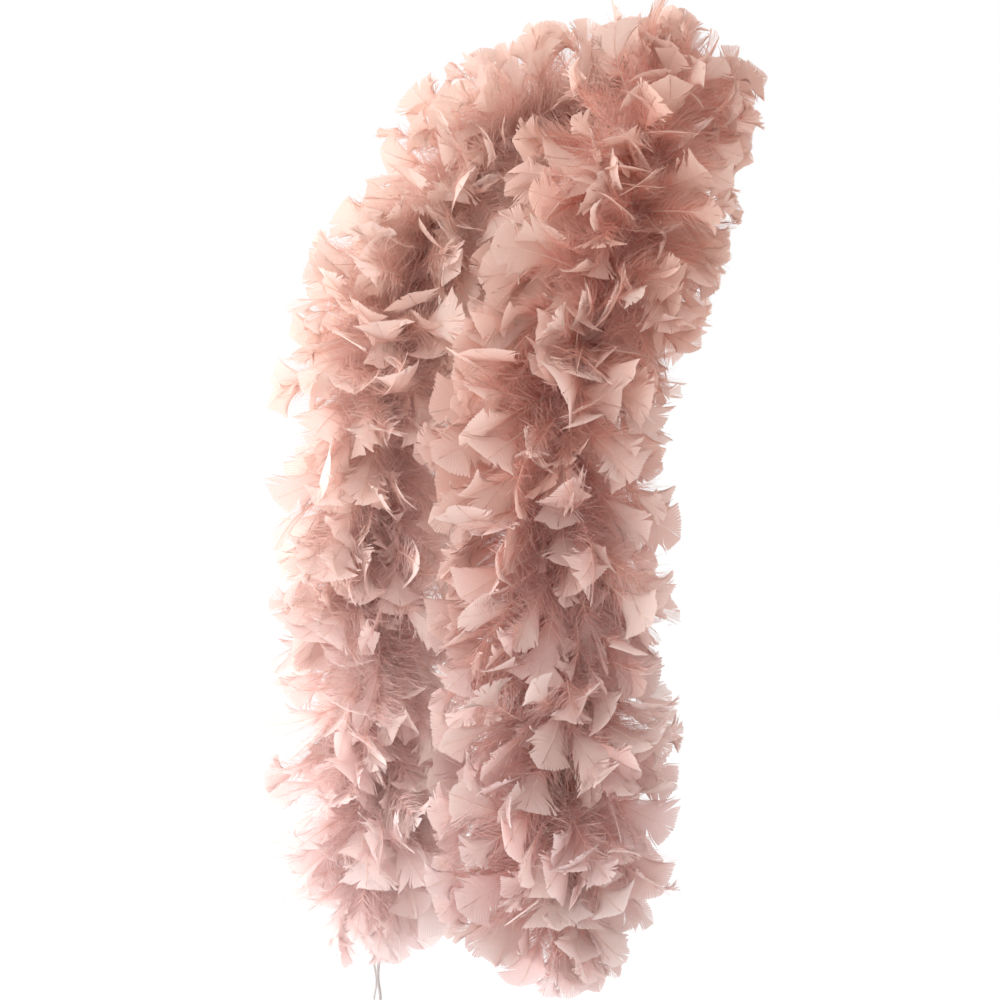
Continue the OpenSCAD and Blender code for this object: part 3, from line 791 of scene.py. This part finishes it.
# --------------------------------------------------------------------- down
def fluff(name, body, node, shares, per_m, seed):
    """Short down round the cord: thin, tapering, curly ribbons."""
    rng = np.random.default_rng(seed)
    V, F, CO, CE, BA = [], [], [], [], []
    S = np.linspace(0, 0.76, 3)
    n = len(S)
    tri = strip(n)
    off = 0
    for kind, side, k in shares:
        P, T = core_share(kind, side, k)
        length = np.linalg.norm(np.diff(P, axis=0), axis=1).sum()
        cnt = int(length * per_m)
        x = rng.uniform(0, len(P) - 1.001, cnt)
        j = x.astype(int)
        p = P[j] + (P[j + 1] - P[j]) * (x - j)[:, None]
        t = unit(T[j])
        up = np.where(np.abs(t[:, 2:3]) < 0.9, [[0, 0, 1.0]], [[1.0, 0, 0]])
        e1 = unit(np.cross(t, up)); e2 = np.cross(t, e1)
        ph = rng.uniform(0, 2 * np.pi, cnt)
        rad = np.cos(ph)[:, None] * e1 + np.sin(ph)[:, None] * e2
        tl = np.radians(rng.normal(15, 30, cnt))
        D = unit(np.cos(tl)[:, None] * rad + np.sin(tl)[:, None] * t)
        q = unit(np.cross(D, rng.normal(0, 1, (cnt, 3))))
        q2 = np.cross(D, q)
        ln = rng.uniform(0.030, 0.088, cnt)
        to_neck = unit(NECK_C - p[:, :2])
        ln = ln * (1 - 0.5 * np.clip((rad[:, :2] * to_neck).sum(1), 0, 1) * (p[:, 2] > -0.16))
        bend = rng.normal(0, 0.55, cnt)
        w1, w2 = rng.uniform(0.0005, 0.0022, (2, cnt))
        f1 = rng.uniform(4, 11, cnt)
        pa, pb = rng.uniform(0, 6.28, (2, cnt))
        s = S[None, :]
        a = bend[:, None] * s
        ax = ln[:, None] * np.where(np.abs(bend[:, None]) < 1e-3, s, np.sin(a) / np.where(np.abs(bend[:, None]) < 1e-3, 1, bend[:, None]))
        ay = ln[:, None] * (1 - np.cos(a)) / np.where(np.abs(bend[:, None]) < 1e-3, 1, bend[:, None])
        by = ay + w1[:, None] * s * np.sin(f1[:, None] * s + pa[:, None])
        bz = w2[:, None] * s * np.sin(f1[:, None] * s * 0.8 + pb[:, None])
        mid = (p + rad * 0.004)[:, None] + ax[..., None] * D[:, None] + by[..., None] * q[:, None] + bz[..., None] * q2[:, None]
        wd = rng.uniform(0.00017, 0.00036, cnt)[:, None] * (1 - 0.7 * s)
        v = np.zeros((cnt, 2 * n + 1, 3))
        v[:, 0 : 2 * n : 2] = mid - q2[:, None] * wd[..., None]
        v[:, 1 : 2 * n : 2] = mid + q2[:, None] * wd[..., None]
        v[:, 2 * n] = mid[:, -1] + (mid[:, -1] - mid[:, -2]) * 0.7
        h = v[..., :2] - NECK_C
        d = np.linalg.norm(h, axis=-1)
        out = np.where(v[..., 2] > -0.14, np.maximum(1.0, 0.058 / np.maximum(d, 1e-4)), 1.0)
        v[..., :2] = NECK_C + h * out[..., None]
        ss = np.append(np.repeat(S, 2), 1.0)
        low = np.clip((-p[:, 2] - 0.12) / 0.62, 0, 1)[:, None]
        c0 = (RUST * 0.5 + DEEP * 0.5) * (1 - 0.14 * low) + BLUSH * 0.14 * low
        c1 = (SALMON * 0.7 + BLUSH * 0.3) * (1 - 0.6 * low) + BLUSH * 0.6 * low
        # painted light: down on the right-hand side, facing the key light, is paled towards cream and rose
        if side == "right":
            painted_light_pale = CREAM * (1 - low) + ROSE * low
            c0, c1 = c0 * 0.74 + painted_light_pale * 0.26, c1 * 0.42 + painted_light_pale * 0.58
        c = c0[:, None] + (c1 - c0)[:, None] * ss[None, :, None]
        c = c * rng.uniform(0.85, 1.15, (cnt, 1, 1))
        idx = np.arange(cnt) + rng.integers(0, 900)
        gx, gy = (idx % 64) / 64, ((idx // 64) % 48) / 48
        ce = np.stack([gx[:, None] + np.append(np.tile([0.1, 0.9], n), 0.5)[None] / 64, gy[:, None] + (0.08 + 0.84 * ss)[None] / 48], -1)
        V.append(v.reshape(-1, 3)); CO.append(c.reshape(-1, 3)); CE.append(ce.reshape(-1, 2))
        BA.append(np.stack([np.tile(np.append(np.tile([0.0, 1.0], n), 0.5), cnt), np.tile(ss * 8, cnt) + np.repeat(idx * 9.0, 2 * n + 1)], 1))
        F.append((tri[None] + (np.arange(cnt) * (2 * n + 1))[:, None, None]).reshape(-1, 3) + off)
        off += cnt * (2 * n + 1)
    ob = build(name, np.concatenate(V), np.concatenate(F), [DOWN], np.concatenate(CE), np.concatenate(BA), np.clip(np.concatenate(CO), 0, 1))
    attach(ob, body)
    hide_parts(node)


PER_M = 34000
fluff("fluff_nape", "collar", "down_nape", [("nape", "", 0)], PER_M, 501)
for s_i, side in enumerate(("left", "right")):
    fluff(f"fluff_collar_{side}", "collar", f"down_collar_{side}", [("collar", side, k) for k in range(5)], PER_M, 510 + s_i)
    for k in range(4):
        fluff(f"fluff_tail_{side}_{k + 1}", f"tail_{side}_{k + 1}", f"down_tail_{side}_{k + 1}", [("tail", side, k)], PER_M, 520 + 4 * s_i + k)

# -------------------------------------------------------- floor, light, air
world = bpy.data.worlds.new("studio")
world.use_nodes = True
bg = world.node_tree.nodes["Background"]
bg.inputs[0].default_value = (1.0, 1.0, 1.0, 1)
bg.inputs[1].default_value = 1.0
scene.world = world

bm = bpy.data.meshes.new("floor")
bm.from_pydata([(-30, -30, -1.5), (30, -30, -1.5), (30, 30, -1.5), (-30, 30, -1.5)], [], [(0, 1, 2, 3)])
floor = bpy.data.objects.new("floor", bm)
scene.collection.objects.link(floor)
fm, nt, N, L = new_material("floor")
o = N.new("ShaderNodeOutputMaterial"); d = N.new("ShaderNodeBsdfPrincipled")
d.inputs["Base Color"].default_value = (0.92, 0.92, 0.92, 1); d.inputs["Roughness"].default_value = 0.9
d.inputs["Specular IOR Level"].default_value = 0.0
d.inputs["Emission Color"].default_value = (1, 1, 1, 1); d.inputs["Emission Strength"].default_value = 0.10
L.new(d.outputs[0], o.inputs[0])
bm.materials.append(fm)


def area(name, loc, aim_at, size, power, color=(1, 1, 1)):
    ld = bpy.data.lights.new(name, "AREA")
    ld.shape = "RECTANGLE"; ld.size, ld.size_y = size
    ld.energy = power; ld.color = color
    ob = bpy.data.objects.new(name, ld)
    ob.location = loc
    ob.rotation_euler = (Vector(aim_at) - Vector(loc)).to_track_quat("-Z", "Y").to_euler()
    scene.collection.objects.link(ob)
    return ob


mid = np.array([0, -0.15, -0.4])
area("key", tuple(mid - RIGHT * 2.2 + TO_CAM * 0.5 + np.array([0, 0, 0.45])), tuple(mid), (2.2, 2.4), 50, (1.0, 0.99, 0.98))
area("back", tuple(mid - TO_CAM * 1.5 - RIGHT * 1.5 + np.array([0, 0, 0.2])), tuple(mid), (1.8, 2.2), 24, (1.0, 1.0, 1.0))
